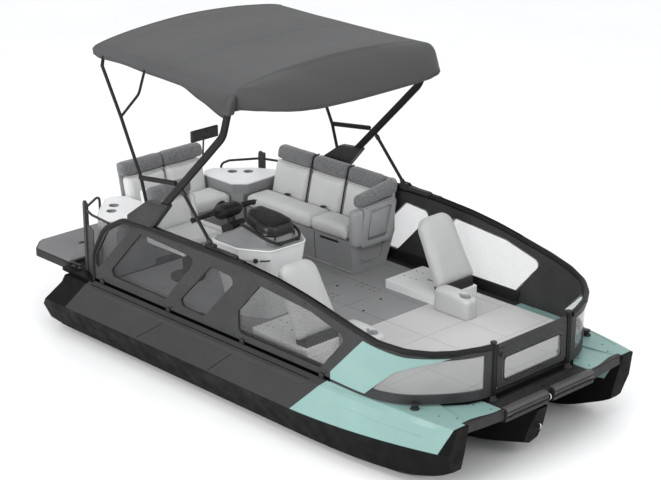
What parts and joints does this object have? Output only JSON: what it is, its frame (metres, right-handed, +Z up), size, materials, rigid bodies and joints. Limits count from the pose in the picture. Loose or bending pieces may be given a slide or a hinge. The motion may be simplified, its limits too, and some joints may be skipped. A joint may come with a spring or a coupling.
{
  "type": "pontoon boat",
  "caption": "Open pontoon boat with canopy, fenced deck, lounge and bench seats, handlebar helm and jet drive.",
  "frame": {"origin": "middle of the boat's length and beam, on the plane that the outer keels stand on", "axes": "+X forward to the bow, +Y to port, +Z up"},
  "size_m": [5.2, 2.42, 2.757],
  "materials": {
    "hull_black": "satin",
    "hull_grey": "satin",
    "aqua": "gloss",
    "fence_grey": "powder coated",
    "black_metal": "powder coated",
    "mesh_panel": "perforated",
    "tinted_pane": "clear",
    "canopy_cloth": "woven",
    "vinyl": "soft grained",
    "dark_cloth": "heathered",
    "pale_shell": "satin",
    "grey_shell": "fine texture",
    "black_trim": "matte",
    "deck_dark": "embossed",
    "deck_light": "embossed",
    "cast_alloy": "cast",
    "bright_steel": "polished",
    "engine_paint": "painted"
  },
  "bodies": {
    "boat": {"bench_back": "vinyl", "bench_base": "grey_shell", "bench_seat": "vinyl", "bimini_main_frame": "black_metal", "bimini_mounts": "fence_grey", "bimini_rear_frame": "black_metal", "bimini_struts": "black_metal", "bow_backrest_port": "vinyl", "bow_backrest_starboard": "vinyl", "bow_cowl_port": "aqua", "bow_cowl_starboard": "aqua", "bow_eyes": "bright_steel", "bow_fence_port": "fence_grey", "bow_fence_starboard": "fence_grey", "bow_platform": "black_trim", "bow_pods": "pale_shell", "bow_slabs": "pale_shell", "bow_windows": "tinted_pane", "canopy": "canopy_cloth", "centre_hull": "hull_black", "chair_pedestal": "black_metal", "cleats": "black_trim", "console": "pale_shell", "console_cap": "grey_shell", "deck_frame": "hull_black", "deck_tiles_aft": "deck_dark", "deck_tiles_bow": "deck_light", "engine_block": "engine_paint", "fence_cowls": "aqua", "fence_port": "fence_grey", "fence_starboard": "fence_grey", "gate_posts": "black_metal", "jet_pump": "cast_alloy", "lounge_arm": "dark_cloth", "lounge_back": "vinyl", "lounge_base": "grey_shell", "lounge_seat": "vinyl", "mirror": "black_trim", "rail_port": "black_metal", "rail_starboard": "black_metal", "side_port": "hull_grey", "side_starboard": "hull_grey", "sponson_port": "hull_black", "sponson_starboard": "hull_black", "steering_column": "black_trim", "stem_caps": "hull_black", "stern_rails": "black_metal", "swim_pad": "deck_dark", "swim_platform": "black_trim", "table_port": "pale_shell", "table_starboard": "pale_shell", "windows_port": "mesh_panel", "windows_starboard": "mesh_panel"},
    "gate": {"bow_gate": "fence_grey", "gate_window": "tinted_pane"},
    "handlebar": {"handlebar": "black_trim"},
    "nozzle": {"jet_nozzle": "cast_alloy"},
    "chair": {"chair_shell": "pale_shell", "chair_cushion": "vinyl"},
    "lid": {"console_lid": "black_trim"}
  },
  "joints": [
    {"name": "gate_hinge", "type": "hinge", "parent": "boat", "child": "gate", "pos_m": [2.363, 0.393, 0.8], "axis": [0, 0, -1], "range_deg": [0, 95]},
    {"name": "steer", "type": "hinge", "parent": "boat", "child": "handlebar", "pos_m": [-0.44, -0.505, 1.362], "axis": [-0.4695, 0, 0.8829], "range_deg": [-28, 28]},
    {"name": "nozzle_pivot", "type": "hinge", "parent": "boat", "child": "nozzle", "pos_m": [-2.03, 0, 0.215], "axis": [0, 0, 1], "range_deg": [-22.5, 22.5]},
    {"name": "chair_swivel", "type": "hinge", "parent": "boat", "child": "chair", "pos_m": [-0.985, -0.505, 0.9], "axis": [0, 0, 1], "continuous": true},
    {"name": "lid_hinge", "type": "hinge", "parent": "boat", "child": "lid", "pos_m": [0.239, -0.505, 1.336], "axis": [0, 1, 0], "range_deg": [0, 70]}
  ],
  "couplings": [
    {"joint": "nozzle_pivot", "follows": "steer", "ratio": -0.8}
  ]
}
